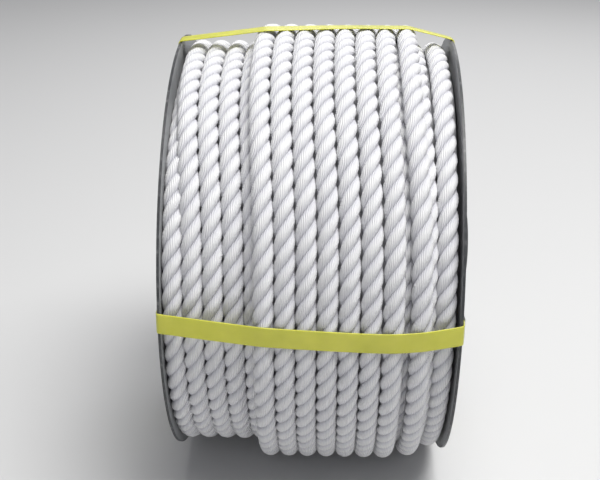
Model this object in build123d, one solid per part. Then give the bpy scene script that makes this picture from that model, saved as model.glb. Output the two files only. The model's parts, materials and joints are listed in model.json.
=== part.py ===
"""A reel of three-strand dock line, strapped for storage.

The reel's axis lies along X and the reel stands on its lowest strap, so the origin is under its middle,
on the floor. Angles about the axis are in degrees from +Y (the back): 90 is the top, 180 the front and
270 the bottom. The rope is wound with that angle growing along it. Lengths are in millimetres.
"""

from build123d import *
import math
import os

# Rope and its winding
ROPE_D = 16.0
LAYER_STEP = 14.0  # from one layer's turns to the next, which lie in its grooves
FULL_LAYERS = 3
UPPER_FIRST_X = 79.0  # middle of the first and last turns of the part layer on top
UPPER_LAST_X = -34.5
LAST_TURN_START, LAST_TURN_SWEEP = 70.0, 310.0
ROPE_SHARE_OF_SIDE = 0.5  # how far down its flank a turn of the part layer is full width

# Reel
REEL_WIDTH = 224.0  # between the flanges
BARREL_R = 132.0
BARREL_WALL = 2.0
FLANGE_R = 180.5
SHEET = 2.0
DISH_DEPTH = 5.0
SPIGOT_PLAY = 0.2
HUB_SEAT_R = 40.0
RIB_COUNT, RIB_R, RIB_L, RIB_W, RIB_H, RIB_TAPER = 8, 87.0, 46.0, 12.0, 2.5, 30.0

# Hubs for a spindle
BORE_R = 26.0
BOSS_R = 34.0
HUB_FLANGE_R = 54.0
HUB_FLANGE_T = 4.0
BOSS_END_X = 133.0
HUB_INNER_X = 98.0
RIVET_COUNT, RIVET_PCR, RIVET_R = 6, 47.0, 2.5

# Tie rods
ROD_COUNT, ROD_PCR, ROD_R = 4, 87.0, 5.0
ROD_HOLE_R = 5.5
WASHER_R, WASHER_T = 10.5, 2.0
NUT_AF, NUT_T = 17.0, 8.0
ROD_PROUD = 3.0

# Packing straps and their seals
STRAP_W, STRAP_T = 16.0, 0.8
STRAPS = {"back": 0, "top": 90, "front": 180, "bottom": 270}
TOUCH = 0.1  # slack between a strap and what it bears on
SLOT_OUTER_R, SLOT_INNER_R, SLOT_W = 122.0, 112.0, 22.0
STAND_OFF = 0.9
SEAL_L, SEAL_W, SEAL_SHEET, SEAL_R = 28.0, 18.8, 0.9, 156.0
SEAL_FLAP_GAP = 5.0

# Inner end of the rope, led out through the left flange
START_SLOT_L, START_SLOT_W, START_SLOT_R, START_SLOT_ANGLE = 56.0, 20.0, 144.0, 56.0
TAIL_STAND_OFF = 0.4
TAPE_L, TAPE_T = 22.0, 0.4
CLIP_W, CLIP_SHEET, CLIP_FOOT, CLIP_SLACK = 14.0, 1.5, 10.0, 0.4
CLIP_RIVET_R, CLIP_RIVET_HEAD_R, CLIP_RIVET_HEAD_T = 2.0, 4.0, 1.6

HALF = REEL_WIDTH / 2
OUTSIDE_X = HALF + SHEET  # outer face of a flange at its rim
DISH_X = OUTSIDE_X - DISH_DEPTH  # outer face of a flange inside its dish
SPIGOT_R = BARREL_R - BARREL_WALL - SPIGOT_PLAY
FULL_CREST = BARREL_R + ROPE_D + (FULL_LAYERS - 1) * LAYER_STEP
UPPER_CREST = FULL_CREST + LAYER_STEP
AXIS_Z = UPPER_CREST + STRAP_T
TAIL_X = -(OUTSIDE_X + TAIL_STAND_OFF + ROPE_D / 2)
# Route of the inner end from its tip to inside the winding: x, distance from the axis, angle
TAIL_ROUTE = [(TAIL_X, 155, 19), (TAIL_X, 153, 34), (TAIL_X, 147, 49), (TAIL_X + 19, 141, 64)]


def on_axis(shape):
    """Lift a shape made about the X axis to the reel's axis."""
    return Pos(0, 0, AXIS_Z) * shape


def at(x, radius, angle):
    turn = math.radians(angle)
    return Vector(x, radius * math.cos(turn), radius * math.sin(turn))


def ring(points, start=0.0, sweep=360.0):
    """Turn a closed outline of (x, radius) points about the axis."""
    outline = make_face(Polyline(*points, close=True))
    return Rot(X=start) * revolve(outline, Axis.X, sweep)


def tube_x(x0, x1, outer, inner=0.0):
    """Round bar along X, or a tube where an inner radius is given."""
    body = Cylinder(outer, abs(x1 - x0))
    if inner:
        body -= Cylinder(inner, abs(x1 - x0))
    return Pos((x0 + x1) / 2, 0, 0) * Rot(Y=90) * body


def round_places(count, radius, first=0.0):
    return [at(0, radius, first + 360 * i / count) for i in range(count)]


ROD_PLACES = round_places(ROD_COUNT, ROD_PCR, 45)
RIVET_PLACES = round_places(RIVET_COUNT, RIVET_PCR, 30)


def flange():
    """Pressed sheet disc, drawn on the left: its dish centres the barrel."""
    body = ring(
        [
            (-HALF, FLANGE_R),
            (-OUTSIDE_X, FLANGE_R),
            (-OUTSIDE_X, SPIGOT_R - 0.8),
            (-DISH_X, SPIGOT_R - 0.8 - DISH_DEPTH),
            (-DISH_X, HUB_SEAT_R),
            (-DISH_X + SHEET, HUB_SEAT_R),
            (-DISH_X + SHEET, SPIGOT_R - DISH_DEPTH),
            (-HALF, SPIGOT_R),
        ]
    )
    through = (-OUTSIDE_X - 1, -DISH_X + SHEET + 1)
    for place in ROD_PLACES:
        body -= Pos(0, place.Y, place.Z) * tube_x(*through, ROD_HOLE_R)
    for place in RIVET_PLACES:
        body -= Pos(0, place.Y, place.Z) * tube_x(*through, RIVET_R)
    strap_slot = Box(4 * SHEET, SLOT_OUTER_R - SLOT_INNER_R, SLOT_W)
    for angle in STRAPS.values():
        body -= Rot(X=angle) * Pos(-DISH_X, (SLOT_OUTER_R + SLOT_INNER_R) / 2, 0) * strap_slot
    for i in range(RIB_COUNT):
        place = Rot(X=360 * (i + 0.5) / RIB_COUNT) * Pos(-DISH_X, RIB_R, 0) * Rot(Y=-90) * Rot(Z=90)
        body += place * extrude(SlotOverall(RIB_L, RIB_W), RIB_H, taper=RIB_TAPER)
        pressed = SlotOverall(RIB_L - 2 * SHEET, RIB_W - 2 * SHEET)
        body -= place * Pos(0, 0, -SHEET) * extrude(pressed, RIB_H, taper=RIB_TAPER)
    start = extrude(SlotOverall(START_SLOT_L, START_SLOT_W), 2 * SHEET, both=True)
    body -= Rot(X=START_SLOT_ANGLE) * Pos(-HALF, START_SLOT_R, 0) * Rot(Y=90) * start
    return body


def barrel():
    return tube_x(-HALF, HALF, BARREL_R, BARREL_R - BARREL_WALL)


def hub():
    """Flanged bush on the left, riveted to the outside of the flange's dish."""
    body = ring(
        [
            (-BOSS_END_X, BORE_R),
            (-BOSS_END_X, BOSS_R - 1.5),
            (-BOSS_END_X + 1.5, BOSS_R),
            (-DISH_X - HUB_FLANGE_T, BOSS_R),
            (-DISH_X - HUB_FLANGE_T, HUB_FLANGE_R),
            (-DISH_X, HUB_FLANGE_R),
            (-DISH_X, HUB_SEAT_R),
            (-HUB_INNER_X, HUB_SEAT_R),
            (-HUB_INNER_X, BORE_R),
        ]
    )
    for place in RIVET_PLACES:
        body -= Pos(0, place.Y, place.Z) * tube_x(-BOSS_END_X, -HUB_INNER_X, RIVET_R)
    return body


def both_ends(left):
    return [left, mirror(left, Plane.YZ)]


def hub_rivets():
    """Domed outside, set flat inside."""
    shank = tube_x(-DISH_X - HUB_FLANGE_T, -DISH_X + SHEET, RIVET_R)
    head = tube_x(-DISH_X - HUB_FLANGE_T - 2.0, -DISH_X - HUB_FLANGE_T, 2 * RIVET_R)
    head = chamfer(head.edges().group_by(Axis.X)[0], 1.2)
    set_end = tube_x(-DISH_X + SHEET, -DISH_X + SHEET + 1.5, 1.7 * RIVET_R)
    rivet = shank + head + set_end
    return [piece for place in RIVET_PLACES for piece in both_ends(Pos(0, place.Y, place.Z) * rivet)]


def tie_rods():
    end = DISH_X + WASHER_T + NUT_T + ROD_PROUD
    rod = chamfer(tube_x(-end, end, ROD_R).edges().filter_by(GeomType.CIRCLE), 1.0)
    return [Pos(0, place.Y, place.Z) * rod for place in ROD_PLACES]


def tie_rod_washers():
    washer = tube_x(-DISH_X - WASHER_T, -DISH_X, WASHER_R, ROD_HOLE_R)
    return [piece for place in ROD_PLACES for piece in both_ends(Pos(0, place.Y, place.Z) * washer)]


def tie_rod_nuts():
    prism = extrude(RegularPolygon(NUT_AF / 2, 6, major_radius=False), NUT_T)
    nut = Pos(-DISH_X - WASHER_T - NUT_T, 0, 0) * Rot(Y=90) * prism
    nut -= tube_x(-DISH_X - WASHER_T - NUT_T, -DISH_X - WASHER_T, ROD_R)
    return [piece for place in ROD_PLACES for piece in both_ends(Pos(0, place.Y, place.Z) * nut)]


def upper_outline(left_x, right_x, slope_left, slope_right):
    """Outline of turns of the part layer, from the middle of its left turn to that of its right one."""
    flank = FULL_CREST + ROPE_SHARE_OF_SIDE * LAYER_STEP
    left_edge, right_edge = left_x - ROPE_D / 2, right_x + ROPE_D / 2
    points = [(left_edge, FULL_CREST), (right_edge, FULL_CREST)]
    points += [(right_edge, flank), (right_x, UPPER_CREST)] if slope_right else [(right_edge, UPPER_CREST)]
    points += [(left_x, UPPER_CREST), (left_edge, flank)] if slope_left else [(left_edge, UPPER_CREST)]
    return points


def rope_winding():
    """Outer shape of the wound rope: full layers, and the part layer whose last turn stops at the back."""
    body = ring([(-HALF, BARREL_R), (HALF, BARREL_R), (HALF, FULL_CREST), (-HALF, FULL_CREST)])
    body += ring(upper_outline(UPPER_LAST_X + ROPE_D, UPPER_FIRST_X, False, True))
    body += ring(last_turn_outline(), LAST_TURN_START, LAST_TURN_SWEEP)
    return body


def last_turn_outline():
    return upper_outline(UPPER_LAST_X, UPPER_LAST_X, True, False)


def outer_end_tape():
    """Tape round the rope's outer end, where the last turn stops."""
    sweep = math.degrees(TAPE_L / (FULL_CREST + ROPE_D / 2))
    return ring(last_turn_outline(), LAST_TURN_START + LAST_TURN_SWEEP, sweep)


def tail_path():
    """Inner end's route as straight runs joined by arcs as large as the runs allow."""
    points = [at(*place) for place in TAIL_ROUTE]
    runs = [b - a for a, b in zip(points, points[1:])]
    radii = []
    for before, after in zip(runs, runs[1:]):
        half_turn = math.radians(before.get_angle(after) / 2)
        radii.append(0.45 * min(before.length, after.length) / math.tan(half_turn))
    print("inner end: runs", [round(r.length, 1) for r in runs], "radii", [round(r, 1) for r in radii])
    return FilletPolyline(*points, radius=radii)


def tail_tube(path, radius):
    return sweep(Plane(path @ 0, z_dir=path % 0) * Circle(radius), path=path)


def outside_only(shape):
    """Keep what lies outside the winding's left side."""
    return shape - Pos(-HALF, 0, 0) * Box(200, 600, 600, align=(Align.MIN, Align.CENTER, Align.CENTER))


def rope_inner_tail(path):
    tube = tail_tube(path, ROPE_D / 2)
    section = math.pi * (ROPE_D / 2) ** 2
    print("inner end: volume over section times length", round(tube.volume / (section * path.length), 4))
    return outside_only(tube)


def inner_end_tape(path):
    band = path.trim(0, TAPE_L / path.length)
    return tail_tube(band, ROPE_D / 2 + TAPE_T) - tail_tube(band, ROPE_D / 2)


def clip_plane(path):
    """Plane across the inner end where its clip sits: X up from the flange, Y away from the axis."""
    share = 0.42
    here, along = path @ share, path % share
    return Plane(origin=here, x_dir=(-1, 0, 0), z_dir=along)


def tail_clip(path):
    """Saddle clip over the inner end, with a foot on each side."""
    inner = ROPE_D / 2 + CLIP_SLACK
    outer = inner + CLIP_SHEET
    floor = -(ROPE_D / 2 + TAIL_STAND_OFF)
    shell = Circle(outer) + Pos(floor / 2, 0) * Rectangle(-floor, 2 * outer)
    foot_span = 2 * (outer + CLIP_FOOT)
    shell += Pos(floor + CLIP_SHEET / 2, 0) * Rectangle(CLIP_SHEET, foot_span)
    hollow = Circle(inner) + Pos(floor, 0) * Rectangle(-2 * floor, 2 * inner)
    below = Pos(floor - outer, 0) * Rectangle(2 * outer, 2 * foot_span)
    section = shell - hollow - below
    strip = extrude(clip_plane(path) * section, CLIP_W / 2, both=True)
    for side in (-1, 1):
        strip -= clip_rivet_place(path, side) * Cylinder(CLIP_RIVET_R, 4 * CLIP_SHEET)
    return strip


def clip_rivet_place(path, side):
    """Where a clip rivet crosses its foot's outer face, with Z away from the flange."""
    reach = ROPE_D / 2 + CLIP_SLACK + CLIP_SHEET + CLIP_FOOT / 2
    plane = clip_plane(path)
    foot = plane.origin + plane.y_dir * (side * reach)
    return Plane(origin=(-OUTSIDE_X - CLIP_SHEET, foot.Y, foot.Z), z_dir=(-1, 0, 0)).location


def tail_clip_rivets(path):
    low = (Align.CENTER, Align.CENTER, Align.MIN)
    depth = CLIP_SHEET + SHEET
    head = chamfer(
        Cylinder(CLIP_RIVET_HEAD_R, CLIP_RIVET_HEAD_T, align=low).edges().group_by(Axis.Z)[-1], 0.9
    )
    rivet = head + Pos(0, 0, -depth) * Cylinder(CLIP_RIVET_R, depth, align=low)
    return [clip_rivet_place(path, side) * rivet for side in (-1, 1)]


def rivet_holes(body, path):
    for side in (-1, 1):
        body -= clip_rivet_place(path, side) * Cylinder(CLIP_RIVET_R, 4 * (CLIP_SHEET + SHEET))
    return body


def strap(angle):
    """Closed loop over the winding and both rims, down the flanges and back inside the barrel."""
    half = [
        (UPPER_FIRST_X, UPPER_CREST),
        (OUTSIDE_X + TOUCH, FLANGE_R + TOUCH),
        (OUTSIDE_X + STAND_OFF, FLANGE_R - 8),
        (OUTSIDE_X + STAND_OFF, SPIGOT_R + 4),
        (OUTSIDE_X + TOUCH, SPIGOT_R - 1),
        (DISH_X + TOUCH, SLOT_OUTER_R + 1),
        (DISH_X + TOUCH, SLOT_OUTER_R - TOUCH),
        (DISH_X - SHEET, SLOT_OUTER_R - TOUCH),
    ]
    other = [(-x, radius) for x, radius in reversed(half[1:])] + [(UPPER_LAST_X, UPPER_CREST)]
    inside = make_face(Polyline(*half, *other, close=True))
    band = offset(inside, STRAP_T, kind=Kind.INTERSECTION) - inside
    return Rot(X=angle) * extrude(band, STRAP_W / 2, both=True)


def seal(angle):
    """Crimped sleeve that joins a strap's ends, on the right flange."""
    strap_x = OUTSIDE_X + STAND_OFF + STRAP_T / 2
    room_x = STRAP_T + 0.1
    sleeve = Box(room_x + 1.5 * SEAL_SHEET, SEAL_L, SEAL_W)
    sleeve = Pos(0.25 * SEAL_SHEET, 0, 0) * sleeve
    sleeve -= Box(room_x, SEAL_L, STRAP_W + 0.2)
    sleeve -= Pos(-room_x, 0, 0) * Box(2 * room_x, SEAL_L, SEAL_FLAP_GAP)
    return Rot(X=angle) * Pos(strap_x, SEAL_R, 0) * sleeve


def parts():
    left_hub, right_hub = both_ends(hub())
    path = tail_path()
    left_flange, right_flange = both_ends(flange())
    made = {
        "flange_left": rivet_holes(left_flange, path),
        "flange_right": right_flange,
        "barrel": barrel(),
        "hub_left": left_hub,
        "hub_right": right_hub,
        "hub_rivets": Compound(hub_rivets()),
        "tie_rods": Compound(tie_rods()),
        "tie_rod_washers": Compound(tie_rod_washers()),
        "tie_rod_nuts": Compound(tie_rod_nuts()),
        "rope_winding": rope_winding(),
        "rope_inner_tail": rope_inner_tail(path),
        "inner_end_tape": inner_end_tape(path),
        "tail_clip": tail_clip(path),
        "tail_clip_rivets": Compound(tail_clip_rivets(path)),
        "outer_end_tape": outer_end_tape(),
    }
    for name, angle in STRAPS.items():
        made[f"strap_{name}"] = strap(angle)
        made[f"seal_{name}"] = seal(angle)
    return made


os.makedirs("parts", exist_ok=True)
for node, shape in parts().items():
    export_step(on_axis(shape), f"parts/{node}.step")
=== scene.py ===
"""The looks of a strapped reel of three-strand dock line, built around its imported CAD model.

Lengths here are in millimetres until they go into a mesh. The reel's axis lies along X. Angles about it are
in degrees from +Y (the back): 90 is the top, 180 the front and 270 the bottom.
"""

import json
import math

import bmesh
import bpy
import numpy as np
from mathutils import Matrix, Vector


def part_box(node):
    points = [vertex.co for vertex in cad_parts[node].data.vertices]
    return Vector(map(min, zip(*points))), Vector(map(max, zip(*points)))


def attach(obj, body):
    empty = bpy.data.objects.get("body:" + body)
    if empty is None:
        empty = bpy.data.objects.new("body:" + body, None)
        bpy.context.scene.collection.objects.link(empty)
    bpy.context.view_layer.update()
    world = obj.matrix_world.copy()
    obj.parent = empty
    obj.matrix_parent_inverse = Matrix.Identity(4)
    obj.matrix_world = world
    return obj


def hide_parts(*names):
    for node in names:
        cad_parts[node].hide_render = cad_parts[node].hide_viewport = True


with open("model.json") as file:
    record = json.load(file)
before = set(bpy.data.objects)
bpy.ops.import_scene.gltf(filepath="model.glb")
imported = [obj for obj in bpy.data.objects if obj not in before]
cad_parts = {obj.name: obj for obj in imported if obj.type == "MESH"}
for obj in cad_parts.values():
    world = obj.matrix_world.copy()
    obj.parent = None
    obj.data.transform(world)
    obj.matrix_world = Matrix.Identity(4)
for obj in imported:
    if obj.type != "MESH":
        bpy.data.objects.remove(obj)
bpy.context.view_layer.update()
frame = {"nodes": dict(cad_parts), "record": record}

MM = 0.001
AXIS_Z = frame["record"]["mounts"][0]["pos_m"][2] / MM
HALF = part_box("barrel")[1][0] / MM  # half the width between the flanges
BARREL_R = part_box("barrel")[1][1] / MM
FLANGE_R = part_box("flange_left")[1][1] / MM
OUTSIDE_X = HALF + 2.0  # outer face of a flange
DISH_X = OUTSIDE_X - 5.0  # outer face of a flange inside its dish

ROPE_D = 16.0
ROPE_R = ROPE_D / 2
STRAND_OFFSET, STRAND_R = 2.9, 5.52  # from the rope's middle to a strand's, and a strand's radius
STRANDS_REACH = STRAND_OFFSET + STRAND_R
LAYER_STEP = 14.0
LAYER_R = [BARREL_R + ROPE_R + i * LAYER_STEP for i in range(3)]  # middles of the turns
EDGE_X = HALF - ROPE_R
LAY = 46.2  # one strand's advance in a full twist
CONTROL_STEP = 10.0  # degrees between the control points of a turn


def smooth(t):
    t = min(max(t, 0.0), 1.0)
    return t * t * (3 - 2 * t)


def mix(a, b, t):
    return a + (b - a) * t


def about_axis(x, radius, angle):
    turn = math.radians(angle)
    return (x, radius * math.cos(turn), AXIS_Z + radius * math.sin(turn))


# ---------------------------------------------------------------- camera

SENSOR, LENS = 36.0, 65.52
CAMERA_FAR, CAMERA_SIDE = 982.0, 16.9
CAMERA_ELEVATION = 23.4  # in degrees, where yaw and roll are in radians
CAMERA_YAW, CAMERA_ROLL = -0.031, 0.018


def add_camera():
    camera = bpy.data.objects.new("camera", bpy.data.cameras.new("camera"))
    bpy.context.scene.collection.objects.link(camera)
    camera.data.sensor_width = SENSOR
    camera.data.lens = LENS
    camera.data.clip_end = 50.0
    tilt = Matrix.Rotation(-math.radians(CAMERA_ELEVATION), 3, "X")
    ahead = tilt @ Vector((math.sin(CAMERA_YAW), math.cos(CAMERA_YAW), 0))
    right = tilt @ Vector((math.cos(CAMERA_YAW), -math.sin(CAMERA_YAW), 0))
    up = right.cross(ahead)
    c, s = math.cos(CAMERA_ROLL), math.sin(CAMERA_ROLL)
    right, up = c * right + s * up, c * up - s * right
    place = tilt @ Vector((CAMERA_SIDE, -CAMERA_FAR, 0)) + Vector((0, 0, AXIS_Z))
    axes = Matrix((right, up, -ahead)).transposed().to_4x4()
    camera.matrix_world = Matrix.Translation(place * MM) @ axes
    bpy.context.scene.camera = camera


add_camera()

# ---------------------------------------------------------------- the rope's route

# Each turn passes from its place at the top to its place at the front between these two angles
TOP, FRONT, FRONT_END = 107.0, 165.0, 205.0
FULL_TURNS, UPPER_TURNS = 14, 8
TAIL_X = -(OUTSIDE_X + 0.4 + ROPE_R)
# The inner tail as (x, radius, angle): beside the left flange, then in at its slot
TAIL_ROUTE = [(TAIL_X, 155, 19), (TAIL_X, 153, 34), (TAIL_X, 147, 49), (TAIL_X + 19, 141, 64)]

# How many degrees have been wound where each layer starts; the part layer comes last
LAYER_1 = 64.0
LAYER_2 = LAYER_1 + FULL_TURNS * 360 + 36
LAYER_3 = LAYER_1 + 2 * FULL_TURNS * 360 + 43
UPPER = LAYER_3 + FULL_TURNS * 360
ROPE_END = UPPER + (UPPER_TURNS - 1) * 360 + 281
RISER_START, RISER_SWEEP = LAYER_3 - 12, 77.0  # from the second layer up to the third
FIRST_RISER_SWEEP = 110.0  # from the first layer up to the second


def spaced_out(first, gap, growth, count):
    """Places along the reel whose gaps grow steadily."""
    places = [first]
    for i in range(count - 1):
        places.append(places[-1] + gap + growth * i)
    return places


def grooves(places):
    """The part layer's places: the grooves between the turns under it, from the right."""
    right = FULL_TURNS - 2
    return [(places[right - m] + places[right - 1 - m]) / 2 for m in range(UPPER_TURNS)]


# Where the turns of the third layer and of the part layer lie at the front and at the top
AT_FRONT = spaced_out(first=-EDGE_X, gap=15.2, growth=0.1333, count=FULL_TURNS)
AT_FRONT[-1] = 101.5
AT_TOP = [-EDGE_X] + spaced_out(first=-100.2, gap=16.1, growth=0.085, count=FULL_TURNS - 1)
AT_TOP[-1] = 99.8
UPPER_FRONT, UPPER_TOP = grooves(AT_FRONT), grooves(AT_TOP)
UPPER_TOP[0] = 74.5

# The first turn of the part layer goes aside and sinks between the turns under it, then comes back
FIRST_ASIDE, FIRST_SUNK = 4.2, 2.5
ASIDE_SWEEP, BACK_FROM, BACK_SWEEP = 70.0, 240.0, 120.0
CLIMB_UP_FROM, CLIMB_UP_SWEEP, CLIMB_OVER_FROM = 215.0, 85.0, 260.0
CROSSING, CROSSING_END = 385.0, 455.0  # where the part layer steps over to its next groove
MAX_ROUTE_R = AXIS_Z - STRANDS_REACH  # keeps the part layer out of the floor


def full_turn_x(turn, angle):
    """Place along the reel of a turn of the third layer; angle is from TOP to TOP + 360."""
    if angle < FRONT:
        return mix(AT_TOP[turn], AT_FRONT[turn], smooth((angle - TOP) / (FRONT - TOP)))
    if turn + 1 == FULL_TURNS:
        return AT_FRONT[turn]
    back_up = smooth((angle - FRONT_END) / (360 + TOP - FRONT_END))
    return mix(AT_FRONT[turn], AT_TOP[turn + 1], back_up)


def resting_radius(x, angle):
    """Radius at which a turn rests on the third layer."""
    beside = min(abs(x - full_turn_x(turn, angle)) for turn in range(FULL_TURNS))
    return min(LAYER_R[2] + math.sqrt(ROPE_D**2 - min(beside, ROPE_R) ** 2), MAX_ROUTE_R)


def route_place(wound):
    """(x, radius) of the rope after winding through that many degrees."""
    if wound < LAYER_2:
        x = min(EDGE_X, mix(-EDGE_X, EDGE_X, (wound - LAYER_1) / (LAYER_2 - 360 - LAYER_1)))
        rise = smooth((wound - LAYER_2 + FIRST_RISER_SWEEP) / FIRST_RISER_SWEEP)
        return x, LAYER_R[0] + LAYER_STEP * rise
    if wound < LAYER_3:
        across = (wound - LAYER_2) / (RISER_START + RISER_SWEEP - 360 - LAYER_2)
        return max(-EDGE_X, mix(EDGE_X, -EDGE_X, across)), LAYER_R[1] + riser(wound)
    turn, angle = divmod(wound - LAYER_3, 360)
    turn, angle = int(turn), angle + TOP
    if turn < FULL_TURNS:
        if turn + 1 == FULL_TURNS and angle > FRONT_END:
            return climb(angle)
        return full_turn_x(turn, angle), LAYER_R[1] + riser(wound)
    return upper_place(turn - FULL_TURNS, angle)


def riser(wound):
    return LAYER_STEP * smooth((wound - RISER_START) / RISER_SWEEP)


def climb(angle):
    """From the last turn of the third layer up and over to the first of the part layer.

    The end of the part layer's first turn runs through this stretch at the back.
    """
    over = smooth((angle - CLIMB_OVER_FROM) / (CROSSING_END - CLIMB_OVER_FROM))
    x = mix(AT_FRONT[-1], UPPER_TOP[0], over)
    up = smooth((angle - CLIMB_UP_FROM) / CLIMB_UP_SWEEP)
    return x, mix(LAYER_R[2], resting_radius(x, angle), up)


def upper_place(turn, angle):
    """Place and radius of a turn of the part layer."""
    if angle < FRONT:
        x = mix(UPPER_TOP[turn], UPPER_FRONT[turn], smooth((angle - TOP) / (FRONT - TOP)))
    elif turn + 1 < UPPER_TURNS:
        over = smooth((angle - CROSSING) / (CROSSING_END - CROSSING))
        x = mix(UPPER_FRONT[turn], UPPER_TOP[turn + 1], over)
    else:
        x = UPPER_FRONT[turn]
    radius = resting_radius(x, angle)
    if turn == 0:
        aside = smooth((angle - TOP) / ASIDE_SWEEP) * (1 - smooth((angle - BACK_FROM) / BACK_SWEEP))
        x += FIRST_ASIDE * aside
        radius -= FIRST_SUNK * aside
    return x, radius


def route():
    """Control points of the whole rope and how far it has wound at each."""
    points = [about_axis(*place) for place in TAIL_ROUTE]
    wound = [place[2] for place in TAIL_ROUTE]
    reach = 1 / math.cos(math.radians(CONTROL_STEP / 2))  # the spline runs inside its points
    count = math.ceil((ROPE_END - LAYER_1) / CONTROL_STEP)
    for here in np.linspace(LAYER_1, ROPE_END, count + 1)[1:]:
        x, radius = route_place(float(here))
        points.append(about_axis(x, radius * reach, here))
        wound.append(float(here))
    return points, wound


def route_curve(points):
    curve = bpy.data.curves.new("dock_line_route", "CURVE")
    curve.dimensions = "3D"
    curve.resolution_u = 10
    spline = curve.splines.new("NURBS")
    spline.points.add(len(points) - 1)
    for point, place in zip(spline.points, points):
        point.co = (*(v * MM for v in place), 1)
    spline.order_u = 3
    spline.use_endpoint_u = True
    return curve


def read_line(curve):
    """The spline's own points, in metres."""
    holder = bpy.data.objects.new("route_reader", curve)
    mesh = bpy.data.meshes.new_from_object(holder)
    line = np.zeros(len(mesh.vertices) * 3)
    mesh.vertices.foreach_get("co", line)
    bpy.data.objects.remove(holder)
    bpy.data.meshes.remove(mesh)
    return line.reshape(-1, 3)


# ---------------------------------------------------------------- the rope's strands

STRANDS, PER_STRAND, HIDDEN_SIDES = 3, 9, 9
FINE_STEP, COARSE_STEP = 3.1, 36.0
FADE = 40.0  # length over which the strands fade into the plain tube that runs out of sight
END_CAP = 1.2  # how far the middle of an end stands out
# The stretches with strands, in degrees wound; the rope between them is a plain tube
IN_SIGHT = [
    (0, 110),
    (4700, 4770),
    (5060, 5130),
    (10090, LAYER_3 + 5 * 360 + 30),
    (12230, 12350),
    (LAYER_3 + 11 * 360 - 60, ROPE_END + 90),
]


def strand_profile():
    """Distance from the rope's middle to its surface, round one strand and then the rest."""
    off = np.linspace(-math.pi / STRANDS, math.pi / STRANDS, PER_STRAND, endpoint=False)
    one = STRAND_OFFSET * np.cos(off) + np.sqrt(STRAND_R**2 - (STRAND_OFFSET * np.sin(off)) ** 2)
    return np.tile(one, STRANDS)


def rings_along(along, wound):
    """Where the rope's rings go along it, and how full its strands are at each."""
    total = along[-1]
    rings, full = [], []
    for first, last in IN_SIGHT:
        a = max(0.0, float(np.interp(first, wound, along)))
        b = min(total, float(np.interp(last, wound, along)))
        hidden_from = rings[-1] if rings else 0.0
        if rings:
            gap = np.linspace(hidden_from, a, max(3, math.ceil((a - hidden_from) / COARSE_STEP)))
            rings += list(gap[1:-1])
            full += [-1.0] * (len(gap) - 2)
        fine = np.linspace(a, b, max(8, math.ceil((b - a) / FINE_STEP)))
        rings += list(fine)
        starts = np.ones(len(fine)) if a == 0 else np.clip((fine - a) / FADE, 0, 1)
        ends = np.ones(len(fine)) if b == total else np.clip((b - fine) / FADE, 0, 1)
        full += list(np.minimum(starts, ends))
    return np.array(rings), np.array(full)


def unit(v):
    return v / np.linalg.norm(v, axis=1, keepdims=True)


def frames(centres, tangents):
    """Outward and sideways directions at each ring; outward is away from the reel's axis."""
    outward = centres - np.array([0, 0, AXIS_Z])
    outward[:, 0] = 0
    outward -= (outward * tangents).sum(1)[:, None] * tangents
    outward = unit(outward)
    return outward, np.cross(tangents, outward)


def twist_along(rings, full):
    """The strands' turn at each ring. It stands still where the plain tube runs out of sight."""
    steps = np.diff(rings) * ((full[1:] >= 0) & (full[:-1] >= 0))
    return np.concatenate([[0], np.cumsum(steps)]) * 2 * math.pi / LAY


def bridge(first, n, second, m):
    """Faces between two rings, and each corner as (which ring, share of a turn round it)."""
    faces, corners = [], []
    if n == m:
        for k in range(n):
            faces.append((first + k, first + (k + 1) % n, second + (k + 1) % n, second + k))
            corners += [(0, k / n), (0, (k + 1) / n), (1, (k + 1) / n), (1, k / n)]
        return faces, corners
    each = max(n, m) // min(n, m)
    fine_first = n > m
    fine, coarse = (first, second) if fine_first else (second, first)
    which = (0, 1) if fine_first else (1, 0)
    few, many = min(n, m), max(n, m)
    for k in range(few):
        steps = [k * each + j for j in range(each + 1)]
        fan = [(fine + step % many, which[0], step / many) for step in steps]
        here = (coarse + k, which[1], k / few)
        there = (coarse + (k + 1) % few, which[1], (k + 1) / few)
        triangles = [(fan[j], fan[j + 1], here) for j in range(each)]
        triangles.append((fan[each], there, here))
        for triangle in triangles:
            triangle = triangle if fine_first else triangle[::-1]
            faces.append(tuple(corner[0] for corner in triangle))
            corners += [corner[1:] for corner in triangle]
    return faces, corners


def tube_mesh(name, rings, marks, twists):
    """Closed mesh through rings of points, with a map of turns round the middle and length along."""
    starts = np.concatenate([[0], np.cumsum([len(ring) for ring in rings])]).tolist()
    faces, maps = [], []
    for i in range(len(rings) - 1):
        made, corners = bridge(starts[i], len(rings[i]), starts[i + 1], len(rings[i + 1]))
        faces += made
        for which, share in corners:
            maps.append((share + twists[i + which] / (2 * math.pi), marks[i + which] / LAY))
    verts = np.concatenate(rings)
    for i, ends in ((0, -1), (len(rings) - 1, 1)):
        faces_here, n = [], len(rings[i])
        middle = len(verts)
        outward = rings[i].mean(0) - rings[i - ends].mean(0)
        outward /= np.linalg.norm(outward)
        verts = np.concatenate([verts, [rings[i].mean(0) + outward * END_CAP]])
        for k in range(n):
            pair = (starts[i] + k, starts[i] + (k + 1) % n)
            pair = pair if ends > 0 else pair[::-1]
            faces_here.append((*pair, middle))
            maps += [(0.0, marks[i] / LAY)] * 3
        faces += faces_here
    mesh = bpy.data.meshes.new(name)
    mesh.from_pydata((verts * MM).tolist(), [], faces)
    layer = mesh.uv_layers.new(name="lay")
    layer.data.foreach_set("uv", np.array(maps, np.float32).ravel())
    mesh.polygons.foreach_set("use_smooth", [True] * len(mesh.polygons))
    return mesh


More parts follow.
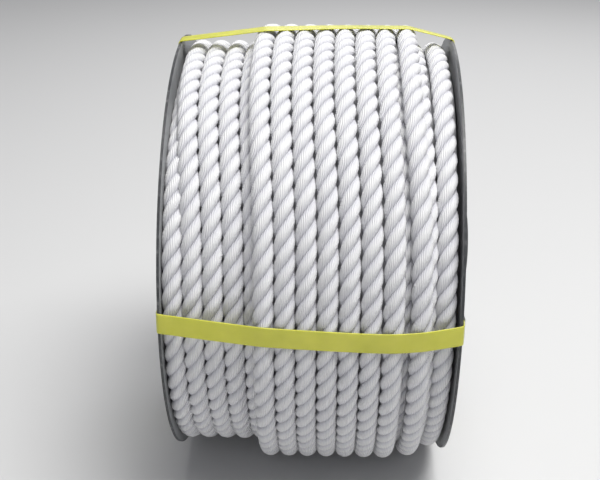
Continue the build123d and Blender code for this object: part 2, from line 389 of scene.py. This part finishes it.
def add_piece(name, mesh, slot, *stands_for):
    """A visible piece on the reel, in place of the CAD nodes that it stands for."""
    piece = bpy.data.objects.new(name, mesh)
    bpy.context.scene.collection.objects.link(piece)
    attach(piece, "root")
    if stands_for:
        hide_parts(*stands_for)
    return piece


route_points, route_wound = route()
line = read_line(route_curve(route_points)) / MM
line_along = np.concatenate([[0], np.cumsum(np.linalg.norm(np.diff(line, axis=0), axis=1))])
line_wound = np.interp(
    np.linspace(0.5, len(route_points) - 1.5, len(line)), np.arange(len(route_points)), route_wound
)
ROPE_LENGTH = float(line_along[-1])


def on_line(along):
    return np.stack([np.interp(along, line_along, line[:, k]) for k in range(3)], 1)


def line_frames(along):
    centres = on_line(along)
    near = np.clip(along, 1.0, ROPE_LENGTH - 1.0)
    tangents = unit(on_line(near + 1.0) - on_line(near - 1.0))
    outward, sideways = frames(centres, tangents)
    return centres, outward, sideways


def sharpen(mesh, groove):
    """Mark the edges that run along the grooves between strands as sharp."""
    ends = np.zeros(len(mesh.edges) * 2, np.int32)
    mesh.edges.foreach_get("vertices", ends)
    crease = groove[ends.reshape(-1, 2)].all(1)
    mesh.attributes.new("sharp_edge", "BOOLEAN", "EDGE").data.foreach_set("value", crease)


def dock_line():
    marks, full = rings_along(line_along, line_wound)
    twists = twist_along(marks, full)
    centres, outward, sideways = line_frames(marks)
    profile = strand_profile()
    plain = float(np.sqrt((profile**2).mean()))
    sides = STRANDS * PER_STRAND
    rings, crest = [], []
    for i in range(len(marks)):
        hidden = full[i] < 0
        n = HIDDEN_SIDES if hidden else sides
        fullness = 0.0 if hidden else smooth(float(full[i]))
        radius = np.full(n, plain) if hidden else plain + (profile - plain) * fullness
        a = np.arange(n) * 2 * math.pi / n + twists[i]
        spokes = np.cos(a)[:, None] * outward[i] + np.sin(a)[:, None] * sideways[i]
        rings.append(centres[i] + radius[:, None] * spokes)
        crest += list((radius - profile.min()) / (profile.max() - profile.min()))
    mesh = tube_mesh("dock_line", rings, marks, twists)
    # crest runs from 0 in a groove between strands to 1 on a strand's crest; the rope's colour uses it for
    # painted shade in the grooves.
    crest = np.array(crest + [0.3, 0.3], np.float32)
    shade = mesh.attributes.new("crest", "FLOAT", "POINT")
    shade.data.foreach_set("value", crest)
    sharpen(mesh, crest < 0.02)
    piece = add_piece("dock_line", mesh, "rope", "rope_winding", "rope_inner_tail")
    return piece, marks, twists


TAPE_L, BARE_TIP = 22.0, 2.5
TAPE_OVER, TAPE_LOBES, TAPE_WORN = 0.25, 0.9, 0.25
TAPE_PITCH, TAPE_T = 7.3, 0.3
TAPE_RINGS, TAPE_SIDES = 45, 48


def end_tape(name, node, first, last):
    """A few turns of tape that hold the strands together at an end of the rope."""
    marks = np.linspace(first, last, TAPE_RINGS)
    centres, outward, sideways = line_frames(marks)
    a = np.arange(TAPE_SIDES) * 2 * math.pi / TAPE_SIDES
    rings = []
    for i, mark in enumerate(marks):
        at_edge = TAPE_WORN if i in (0, len(marks) - 1) else 0.0
        turned = float(np.interp(mark, rope_marks, rope_twists))
        lobes = TAPE_LOBES * (1 + np.cos(STRANDS * (a - turned))) / 2
        wrap = TAPE_T * ((mark / TAPE_PITCH + a / (2 * math.pi)) % 1)
        radius = STRANDS_REACH + TAPE_OVER + wrap - lobes - at_edge
        spokes = np.cos(a)[:, None] * outward[i] + np.sin(a)[:, None] * sideways[i]
        rings.append(centres[i] + radius[:, None] * spokes)
    mesh = tube_mesh(name, rings, marks, np.zeros(len(marks)))
    return add_piece(name, mesh, "end_tape", node)


rope, rope_marks, rope_twists = dock_line()
TAIL_END = ROPE_LENGTH - BARE_TIP
inner_tape = end_tape("inner_tape", "inner_end_tape", BARE_TIP, BARE_TIP + TAPE_L)
outer_tape = end_tape("outer_tape", "outer_end_tape", TAIL_END - TAPE_L, TAIL_END)

# ---------------------------------------------------------------- straps and their seals

STRAP_W, STRAP_T = 16.0, 0.8
# Each strap's angle round the reel
STRAPS = {"back": 0, "top": 90, "front": 180, "bottom": 270}
ACROSS_STEPS, ALONG_STEP = 20, 0.8
EMBOSS_PITCH, EMBOSS_H, PLAIN_EDGE = 2.4, 0.13, 1.0
UNDERSIDE = 0.05  # how far the inner face lies off the strap's line
FLOOR_GAPS = (0.5, 0.02)  # least height of the inner and the outer face above the floor
OUTER_FROM = 200.0  # straps lie on what is wound from this many degrees before the third layer
RIM_R, RIM_CLEAR = 1.2, 0.3  # a rim's rounding, and the strap's clearance from it
SLOT_TOP_R = BARREL_R - 9.0
SPIGOT_R = BARREL_R - 2.2  # where the strap turns in towards its slot
SLOT_R = SPIGOT_R - 8.2


def crests(angle):
    """Circles (x, radius from the axis, own radius) that a strap at this angle is pulled tight over."""
    offset = np.abs((line_wound - angle + 180) % 360 - 180)
    before, at, after = offset[:-2], offset[1:-1], offset[2:]
    passes = np.where((at <= before) & (at < after) & (at < 2))[0] + 1
    outer = [i for i in passes if line_wound[i] > LAYER_3 - OUTER_FROM]
    circles = [(line[i, 0], math.hypot(line[i, 1], line[i, 2] - AXIS_Z), ROPE_R) for i in outer]
    rim_x, rim_radius = OUTSIDE_X + RIM_CLEAR - RIM_R, FLANGE_R + RIM_CLEAR - RIM_R
    return circles + [(side * rim_x, rim_radius, RIM_R) for side in (-1, 1)]


def taut_line(circles):
    """The upper hull of the circles, from right to left."""
    turn = np.radians(np.arange(0, 181, 6))
    points = sorted(
        (x + own * c, radius + own * s)
        for x, radius, own in circles
        for c, s in zip(np.cos(turn), np.sin(turn))
    )
    hull = []
    for p in points:
        while len(hull) > 1:
            (ax, ay), (bx, by) = hull[-2:]
            if (bx - ax) * (p[1] - ay) - (by - ay) * (p[0] - ax) < 0:
                break
            hull.pop()
        hull.append(p)
    return hull[::-1]


def strap_line(angle):
    """Inner line of a strap's closed loop as evenly spaced (x, radius) points, bends rounded."""
    over = [
        (x, radius)
        for x, radius in taut_line(crests(angle))
        if abs(x) <= OUTSIDE_X + 0.4 and radius > FLANGE_R - 0.9
    ]
    down = [
        (OUTSIDE_X + 0.9, FLANGE_R - 8),
        (OUTSIDE_X + 0.9, SPIGOT_R + 4),
        (OUTSIDE_X + 0.3, SPIGOT_R - 1),
        (DISH_X + 0.3, SPIGOT_R - 6.8),
        (DISH_X + 0.3, SLOT_R),
        (DISH_X - 2, SLOT_R),
    ]
    loop = over[::-1] + down + [(-x, radius) for x, radius in reversed(down)]
    loop = np.array(loop + loop[:1])
    along = np.concatenate([[0], np.cumsum(np.linalg.norm(np.diff(loop, axis=0), axis=1))])
    count = round(along[-1] / ALONG_STEP)
    marks = np.arange(count) * along[-1] / count
    even = np.stack([np.interp(marks, along, loop[:, k]) for k in range(2)], 1)
    for _ in range(3):
        even = (np.roll(even, 1, 0) + 2 * even + np.roll(even, -1, 0)) / 4
    return even, along[-1] / count


def strap_sag(name, x):
    """How many millimetres round the reel the strap lies off its straight line."""
    if name == "front":
        left, right = max(0.0, (50 - x) / 164), max(0.0, (x - 60) / 54)
        return 8.0 * left**1.4 + 3.0 * right**2
    if name == "top":
        return 12.0 * smooth((x + 60) / 100) + 6.0 * smooth((x - 60) / 54)
    return 0.0


def strap_turn(name, angle, x, radius):
    """Where the strap is round the reel. On a flange's face it comes straight back to its slot."""
    back = min(1.0, max(0.0, (radius - SLOT_TOP_R) / (FLANGE_R - SLOT_TOP_R)))
    return math.radians(angle) - strap_sag(name, x) * back / FLANGE_R


def emboss(along, across):
    """Height of the pressed diamond pattern."""
    edge = STRAP_W / 2 - abs(across)
    if edge < PLAIN_EDGE:
        return 0.0
    a = math.sin(math.pi * (along + across) / EMBOSS_PITCH)
    b = math.sin(math.pi * (along - across) / EMBOSS_PITCH)
    return EMBOSS_H * abs(a * b) * min(1.0, (edge - PLAIN_EDGE) / 0.6)


def strap_mesh(name, angle):
    """A strap's band: a plain inner face and an embossed outer one round its closed loop."""
    inner, step = strap_line(angle)
    ahead = np.roll(inner, -1, 0) - np.roll(inner, 1, 0)
    ahead /= np.linalg.norm(ahead, axis=1, keepdims=True)
    out = np.stack([ahead[:, 1], -ahead[:, 0]], 1)
    if (out * (inner - inner.mean(0))).sum() < 0:
        out = -out
    across = np.linspace(-STRAP_W / 2, STRAP_W / 2, ACROSS_STEPS + 1)
    verts = []
    for i, (x, radius) in enumerate(inner):
        turn = strap_turn(name, angle, x, radius)
        for side in (0, 1):
            for w in across:
                high = STRAP_T + emboss(i * step, w) if side else UNDERSIDE
                px, pr = x + out[i, 0] * high, radius + out[i, 1] * high
                y = pr * math.cos(turn) - w * math.sin(turn)
                z = AXIS_Z + pr * math.sin(turn) + w * math.cos(turn)
                verts.append((px, y, max(z, FLOOR_GAPS[side])))
    n, row = len(inner), ACROSS_STEPS + 1

    def at(i, side, k):
        return (i % n) * 2 * row + side * row + k

    faces = []
    for i in range(n):
        for k in range(ACROSS_STEPS):
            faces.append((at(i, 1, k), at(i, 1, k + 1), at(i + 1, 1, k + 1), at(i + 1, 1, k)))
            faces.append((at(i, 0, k), at(i + 1, 0, k), at(i + 1, 0, k + 1), at(i, 0, k + 1)))
        faces.append((at(i, 0, 0), at(i, 1, 0), at(i + 1, 1, 0), at(i + 1, 0, 0)))
        last = ACROSS_STEPS
        faces.append((at(i, 0, last), at(i + 1, 0, last), at(i + 1, 1, last), at(i, 1, last)))
    mesh = bpy.data.meshes.new(f"strap_{name}_band")
    mesh.from_pydata((np.array(verts) * MM).tolist(), [], faces)
    mesh.polygons.foreach_set("use_smooth", [True] * len(mesh.polygons))
    mesh.validate()
    return mesh


def face_outwards(mesh):
    """Turn the faces of a closed mesh outwards."""
    work = bmesh.new()
    work.from_mesh(mesh)
    bmesh.ops.recalc_face_normals(work, faces=work.faces)
    work.to_mesh(mesh)
    work.free()


straps = []
for strap_name, strap_angle in STRAPS.items():
    band = strap_mesh(strap_name, strap_angle)
    face_outwards(band)
    straps.append(add_piece(f"packing_strap_{strap_name}", band, "strap", f"strap_{strap_name}"))

SEAL_SHEET, SEAL_FLAP_GAP, SEAL_CORNER, SEAL_EDGE = 0.9, 5.0, 1.3, 0.25
SEAL_RINGS = 57
CRIMPS, CRIMP_L, CRIMP_IN, CRIMP_DENT = (-7.0, 0.0, 7.0), 2.6, 1.15, 0.3


def seal_section(low, high, half_w, gap):
    """Open loop round the strap as (x, width) points, from one flap's edge to the other's."""
    points = [(low, -gap)]
    corners = [(low, -half_w, 180), (high, -half_w, 270), (high, half_w, 0), (low, half_w, 90)]
    for x, w, first in corners:
        middle_x = x + (SEAL_CORNER if x == low else -SEAL_CORNER)
        middle_w = w + (SEAL_CORNER if w < 0 else -SEAL_CORNER)
        turns = np.radians(np.linspace(first, first + 90, 5))
        for c, s in zip(np.cos(turns), np.sin(turns)):
            points.append((middle_x + SEAL_CORNER * c, middle_w + SEAL_CORNER * s))
        if (x, w) == (high, -half_w):
            points += [(high, middle_w * k) for k in (0.8, 0.5, 0.2, -0.2, -0.5, -0.8)]
    return np.array(points + [(low, gap)])


def seal_mesh(name, strap_name, angle):
    """A folded steel sleeve on a strap, nicked and pressed in at its edges where the tool bit."""
    (low, near, bottom), (high, far, top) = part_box("seal_back")
    low, high, near, far, half_w = low / MM, high / MM, near / MM, far / MM, (top - bottom) / MM / 2
    seat = (near + far) / 2
    turn = strap_turn(strap_name, angle, OUTSIDE_X, seat)
    slant = math.atan(strap_sag(strap_name, OUTSIDE_X) / (FLANGE_R - SLOT_TOP_R))
    marks = np.linspace(near - seat, far - seat, SEAL_RINGS)
    span = np.array([high - low, 2 * half_w]) / 2
    middle = np.array([(low + high) / 2, 0.0])
    verts = []
    for mark in marks:
        bite = sum(math.exp(-(((mark - c) / (CRIMP_L / 2)) ** 4)) for c in CRIMPS)
        end = SEAL_EDGE if mark in (marks[0], marks[-1]) else 0.0
        face, side = high - CRIMP_DENT * bite - end, half_w - CRIMP_IN * bite - end
        outer = seal_section(low + end, face, side, SEAL_FLAP_GAP / 2)
        inner = middle + (outer - middle) * (span - SEAL_SHEET * 0.75) / span
        for x, w in (*outer, *inner):
            radius = seat + mark * math.cos(slant) + w * math.sin(slant)
            aside = w * math.cos(slant) - mark * math.sin(slant)
            y = radius * math.cos(turn) - aside * math.sin(turn)
            verts.append((x, y, AXIS_Z + radius * math.sin(turn) + aside * math.cos(turn)))
    n, last = len(outer), len(marks) - 1

    def at(i, side, k):
        return i * 2 * n + side * n + k

    faces = []
    for i in range(last):
        for k in range(n - 1):
            for j in (0, 1):
                faces.append((at(i, j, k), at(i, j, k + 1), at(i + 1, j, k + 1), at(i + 1, j, k)))
        for k in (0, n - 1):
            faces.append((at(i, 0, k), at(i, 1, k), at(i + 1, 1, k), at(i + 1, 0, k)))
    for i in (0, last):
        faces += [(at(i, 0, k), at(i, 0, k + 1), at(i, 1, k + 1), at(i, 1, k)) for k in range(n - 1)]
    mesh = bpy.data.meshes.new(name)
    mesh.from_pydata((np.array(verts) * MM).tolist(), [], faces)
    mesh.polygons.foreach_set("use_smooth", [True] * len(mesh.polygons))
    return mesh


seals = []
for strap_name, strap_angle in STRAPS.items():
    sleeve = seal_mesh(f"seal_{strap_name}_sleeve", strap_name, strap_angle)
    face_outwards(sleeve)
    seals.append(add_piece(f"crimped_seal_{strap_name}", sleeve, "seal_steel", f"seal_{strap_name}"))

# ---------------------------------------------------------------- materials


def material(name, base, roughness):
    made = bpy.data.materials.new(name)
    made.use_nodes = True
    shader = made.node_tree.nodes["Principled BSDF"]
    shader.inputs["Base Color"].default_value = (*base, 1)
    shader.inputs["Roughness"].default_value = roughness
    return made, made.node_tree, shader


def node(tree, kind, inputs=None, **settings):
    """A new node; an input is linked if it is given a socket, and set if it is given a value."""
    made = tree.nodes.new(kind)
    for key, value in settings.items():
        setattr(made, key, value)
    for key, value in (inputs or {}).items():
        if isinstance(value, bpy.types.NodeSocket):
            tree.links.new(value, made.inputs[key])
        else:
            made.inputs[key].default_value = value
    return made


def math_node(tree, operation, a, b=0.0, c=0.0):
    return node(tree, "ShaderNodeMath", {0: a, 1: b, 2: c}, operation=operation).outputs[0]


def ramp(tree, value, *stops):
    """A colour that follows a value through (position, colour) stops."""
    made = node(tree, "ShaderNodeValToRGB", {"Fac": value})
    elements = made.color_ramp.elements
    while len(elements) < len(stops):
        elements.new(0.5)
    for element, (position, colour) in zip(elements, stops):
        element.position = position
        element.color = (*colour, 1)
    return made.outputs["Color"]


YARNS = 36  # ridges of yarn round the rope


def rope_material():
    made, tree, shader = material("laid_nylon", (0.8, 0.8, 0.83), 0.5)
    shader.inputs["Sheen Weight"].default_value = 0.15
    shader.inputs["Sheen Roughness"].default_value = 0.4
    place = node(tree, "ShaderNodeUVMap", uv_map="lay").outputs["UV"]
    around = node(tree, "ShaderNodeSeparateXYZ", {0: place}).outputs[0]
    object_place = node(tree, "ShaderNodeTexCoord").outputs["Object"]
    wander = node(tree, "ShaderNodeTexNoise", {"Vector": object_place, "Scale": 190.0, "Detail": 2.0})
    bend = math_node(tree, "MULTIPLY", wander.outputs["Fac"], 5.0)
    phase = math_node(tree, "MULTIPLY_ADD", around, 2 * math.pi * YARNS, bend)
    yarn = math_node(tree, "MULTIPLY_ADD", math_node(tree, "SINE", phase), 0.5, 0.5)
    blotch = node(tree, "ShaderNodeTexNoise", {"Vector": object_place, "Scale": 45.0, "Detail": 4.0})
    # Painted shade: the colour runs from dark in the grooves between strands to light on the strands'
    # crests, following the crest attribute.
    crest = node(tree, "ShaderNodeAttribute", attribute_name="crest").outputs["Fac"]
    tone = math_node(tree, "MULTIPLY", blotch.outputs["Fac"], 0.3)
    tone = math_node(tree, "MULTIPLY_ADD", yarn, 0.26, tone)
    tone = math_node(tree, "MULTIPLY_ADD", crest, 0.5, tone)
    groove, flank, top = (0.30, 0.30, 0.34), (0.70, 0.70, 0.75), (0.88, 0.88, 0.88)
    colour = ramp(tree, tone, (0.08, groove), (0.4, flank), (0.85, top))
    tree.links.new(colour, shader.inputs["Base Color"])
    rough = math_node(tree, "MULTIPLY_ADD", blotch.outputs["Fac"], 0.2, 0.38)
    tree.links.new(rough, shader.inputs["Roughness"])
    fine = node(tree, "ShaderNodeTexNoise", {"Vector": object_place, "Scale": 1400.0, "Detail": 2.0})
    height = math_node(tree, "MULTIPLY_ADD", fine.outputs["Fac"], 0.35, yarn)
    bump = node(tree, "ShaderNodeBump", {"Height": height, "Strength": 0.9, "Distance": 0.0005})
    tree.links.new(bump.outputs["Normal"], shader.inputs["Normal"])
    return made


def strap_material():
    made, tree, shader = material("polypropylene_strap", (0.56, 0.56, 0.066), 0.38)
    shader.inputs["Subsurface Weight"].default_value = 0.55
    shader.inputs["Subsurface Radius"].default_value = (0.003, 0.003, 0.0008)
    shader.inputs["Subsurface Scale"].default_value = 1.0
    shader.inputs["Coat Weight"].default_value = 0.3
    shader.inputs["Coat Roughness"].default_value = 0.3
    place = node(tree, "ShaderNodeTexCoord").outputs["Object"]
    noise = node(tree, "ShaderNodeTexNoise", {"Vector": place, "Scale": 45.0, "Detail": 5.0})
    colour = ramp(tree, noise.outputs["Fac"], (0.3, (0.51, 0.515, 0.05)), (0.7, (0.61, 0.60, 0.075)))
    tree.links.new(colour, shader.inputs["Base Color"])
    rough = math_node(tree, "MULTIPLY_ADD", noise.outputs["Fac"], 0.2, 0.3)
    tree.links.new(rough, shader.inputs["Roughness"])
    return made


def mottled_material(name, dark, light, roughness, metallic, scale, bump_mm=0.05):
    """A surface that varies between two colours, with a fine grain; metal, cast or tape."""
    made, tree, shader = material(name, light, roughness)
    shader.inputs["Metallic"].default_value = metallic
    place = node(tree, "ShaderNodeTexCoord").outputs["Object"]
    noise = node(
        tree,
        "ShaderNodeTexNoise",
        {"Vector": place, "Scale": scale, "Detail": 6.0, "Roughness": 0.6},
    )
    colour = ramp(tree, noise.outputs["Fac"], (0.35, dark), (0.65, light))
    tree.links.new(colour, shader.inputs["Base Color"])
    rough = math_node(tree, "MULTIPLY_ADD", noise.outputs["Fac"], 0.3, roughness - 0.15)
    tree.links.new(rough, shader.inputs["Roughness"])
    grain = node(tree, "ShaderNodeTexNoise", {"Vector": place, "Scale": scale * 14, "Detail": 3.0})
    height = grain.outputs["Fac"]
    bump = node(tree, "ShaderNodeBump", {"Height": height, "Strength": 0.4, "Distance": bump_mm * MM})
    tree.links.new(bump.outputs["Normal"], shader.inputs["Normal"])
    return made


def paint_material():
    """Grey enamel, darker along the rim edges with lighter chips there, and finely scuffed round the reel.
    """
    made, tree, shader = material("reel_paint", (0.15, 0.158, 0.155), 0.42)
    place = node(tree, "ShaderNodeTexCoord").outputs["Object"]
    split = node(tree, "ShaderNodeSeparateXYZ", {0: place})
    up = math_node(tree, "SUBTRACT", split.outputs[2], AXIS_Z * MM)
    flat = node(tree, "ShaderNodeCombineXYZ", {1: split.outputs[1], 2: up}).outputs[0]
    radius = node(tree, "ShaderNodeVectorMath", {0: flat}, operation="LENGTH").outputs["Value"]
    angle = math_node(tree, "ARCTAN2", up, split.outputs[1])
    stretched = math_node(tree, "MULTIPLY", angle, 0.012)
    round_reel = node(tree, "ShaderNodeCombineXYZ", {0: radius, 1: stretched})

    def noise(vector, scale, detail):
        inputs = {"Vector": vector, "Scale": scale, "Detail": detail}
        return node(tree, "ShaderNodeTexNoise", inputs).outputs["Fac"]

    mottle = noise(place, 22.0, 6.0)
    scuff = noise(round_reel.outputs[0], 900.0, 4.0)
    tone = math_node(tree, "MULTIPLY_ADD", scuff, 0.45, math_node(tree, "MULTIPLY", mottle, 0.55))
    dark, plain, light = (0.205, 0.213, 0.215), (0.275, 0.282, 0.287), (0.35, 0.356, 0.365)
    enamel = ramp(tree, tone, (0.38, dark), (0.5, plain), (0.64, light))
    # Along the rim edge the colour turns dark, with lighter chips.
    chips = noise(place, 160.0, 5.0)
    rim_dark, rim_mid, chipped = (0.035, 0.037, 0.040), (0.06, 0.062, 0.066), (0.13, 0.13, 0.135)
    rim = ramp(tree, chips, (0.45, rim_dark), (0.6, rim_mid), (0.68, chipped))
    edge = math_node(tree, "MULTIPLY_ADD", chips, 0.0016, radius)
    near_rim = {"Value": edge, "From Min": (FLANGE_R - 0.1) * MM, "From Max": (FLANGE_R + 0.5) * MM}
    at_edge = node(tree, "ShaderNodeMapRange", near_rim).outputs[0]
    mixed = node(tree, "ShaderNodeMix", {"Factor": at_edge, 6: enamel, 7: rim}, data_type="RGBA")
    tree.links.new(mixed.outputs[2], shader.inputs["Base Color"])
    tree.links.new(math_node(tree, "MULTIPLY_ADD", tone, 0.45, 0.2), shader.inputs["Roughness"])
    grain = noise(place, 420.0, 3.0)
    height = math_node(tree, "MULTIPLY_ADD", scuff, 0.4, grain)
    bump = node(tree, "ShaderNodeBump", {"Height": height, "Strength": 0.35, "Distance": 0.08 * MM})
    tree.links.new(bump.outputs["Normal"], shader.inputs["Normal"])
    return made


MATERIALS = {
    "rope": rope_material(),
    "strap": strap_material(),
    "reel_paint": paint_material(),
    "hub_casting": mottled_material(
        "hub_casting", (0.04, 0.043, 0.045), (0.075, 0.08, 0.082), 0.6, 0.0, 60.0, bump_mm=0.25
    ),
    "fastener_steel": mottled_material(
        "fastener_steel", (0.42, 0.42, 0.40), (0.60, 0.60, 0.57), 0.35, 1.0, 70.0
    ),
    "seal_steel": mottled_material(
        "seal_steel", (0.38, 0.39, 0.41), (0.56, 0.57, 0.59), 0.33, 1.0, 50.0
    ),
    "end_tape": mottled_material(
        "end_tape", (0.05, 0.13, 0.36), (0.08, 0.19, 0.46), 0.35, 0.0, 30.0
    ),
}
SLOT_OF = {part["node"]: part["material_slot"] for part in frame["record"]["subparts"]}
for cad_name, cad_node in frame["nodes"].items():
    cad_node.data.materials.clear()
    cad_node.data.materials.append(MATERIALS[SLOT_OF[cad_name]])
rope.data.materials.append(MATERIALS["rope"])
for tape in (inner_tape, outer_tape):
    tape.data.materials.append(MATERIALS["end_tape"])
for strap in straps:
    strap.data.materials.append(MATERIALS["strap"])
for seal in seals:
    seal.data.materials.append(MATERIALS["seal_steel"])

# ---------------------------------------------------------------- floor and light


FLOOR_HALF = 12.0  # in metres, as are the lights' places and sizes
LIGHT_TARGET = (0, 0, 0.2)


def add_floor():
    mesh = bpy.data.meshes.new("floor")
    signs = ((-1, -1), (1, -1), (1, 1), (-1, 1))
    corners = [(side * FLOOR_HALF, end * FLOOR_HALF, 0) for side, end in signs]
    mesh.from_pydata(corners, [], [(0, 1, 2, 3)])
    floor = bpy.data.objects.new("floor", mesh)
    bpy.context.scene.collection.objects.link(floor)
    made, _, _ = material("studio_floor", (0.64, 0.64, 0.64), 0.75)
    mesh.materials.append(made)


def add_area(name, place, size, power, colour=(1, 1, 1)):
    """An area light aimed at the reel."""
    lamp = bpy.data.lights.new(name, "AREA")
    lamp.shape, lamp.size, lamp.size_y = "RECTANGLE", size[0], size[1]
    lamp.energy, lamp.color = power, colour
    holder = bpy.data.objects.new(name, lamp)
    bpy.context.scene.collection.objects.link(holder)
    holder.location = place
    aim = Vector(LIGHT_TARGET) - Vector(place)
    holder.rotation_euler = aim.to_track_quat("-Z", "Y").to_euler()


def add_light():
    bpy.context.scene.view_settings.view_transform = "Standard"
    world = bpy.data.worlds.new("studio")
    bpy.context.scene.world = world
    world.use_nodes = True
    sky = world.node_tree.nodes["Background"]
    sky.inputs["Color"].default_value = (0.94, 0.95, 1.0, 1)
    sky.inputs["Strength"].default_value = 0.24
    add_area("key", (0.55, -0.5, 2.4), size=(1.5, 1.5), power=70, colour=(1.0, 0.995, 0.98))
    add_area("fill", (-0.2, -2.4, 1.3), size=(1.4, 1.4), power=6, colour=(0.95, 0.97, 1.0))
    add_area("back", (0.4, 1.8, 1.4), size=(1.5, 1.0), power=12)


add_floor()
add_light()
